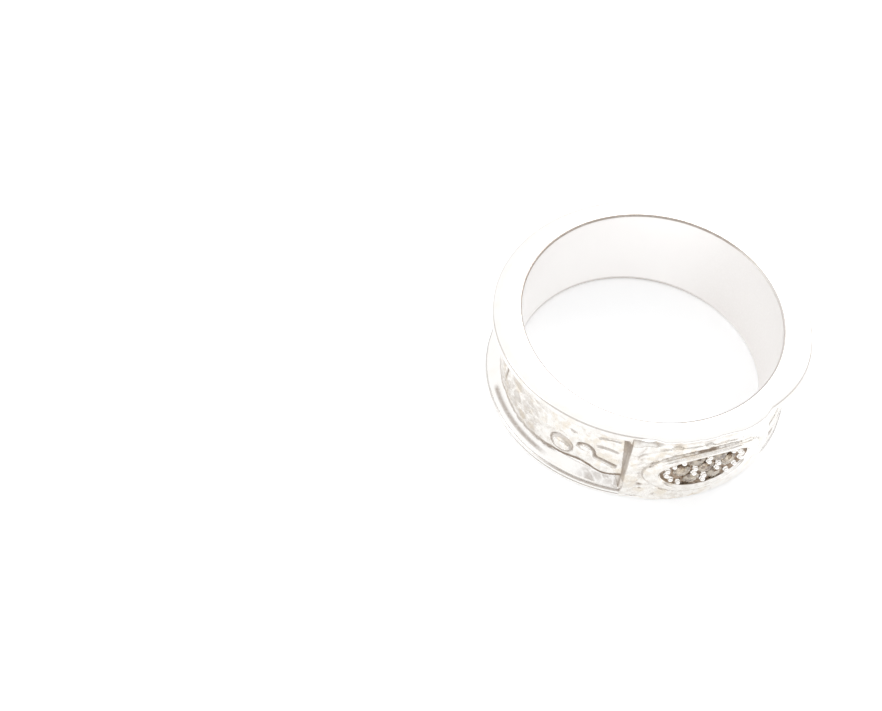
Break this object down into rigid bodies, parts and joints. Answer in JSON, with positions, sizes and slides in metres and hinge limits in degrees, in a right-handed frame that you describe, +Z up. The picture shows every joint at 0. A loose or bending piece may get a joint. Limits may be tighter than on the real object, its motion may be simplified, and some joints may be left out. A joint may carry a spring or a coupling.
{
  "type": "finger ring",
  "caption": "Cast silver band ring with rimmed edges, a channel with relief on each shoulder and a front plaque with small stones in an oval pocket.",
  "frame": {"origin": "centre of the finger's hole on the face that the ring rests on", "axes": "+Z up along the finger's axis, -Y towards the front with the oval, +X to its right as seen from the front"},
  "size_m": [0.0248, 0.0241, 0.008],
  "materials": {
    "silver": "polished cast silver, white and bright, with a hammered relief and darker recesses",
    "stone": "small faceted clear stones, smoky in their dark settings"
  },
  "bodies": {
    "root": {"band": "silver", "stone_1": "stone", "stone_2": "stone", "stone_3": "stone", "stone_4": "stone", "stone_5": "stone", "stone_6": "stone", "stone_7": "stone"}
  },
  "joints": []
}
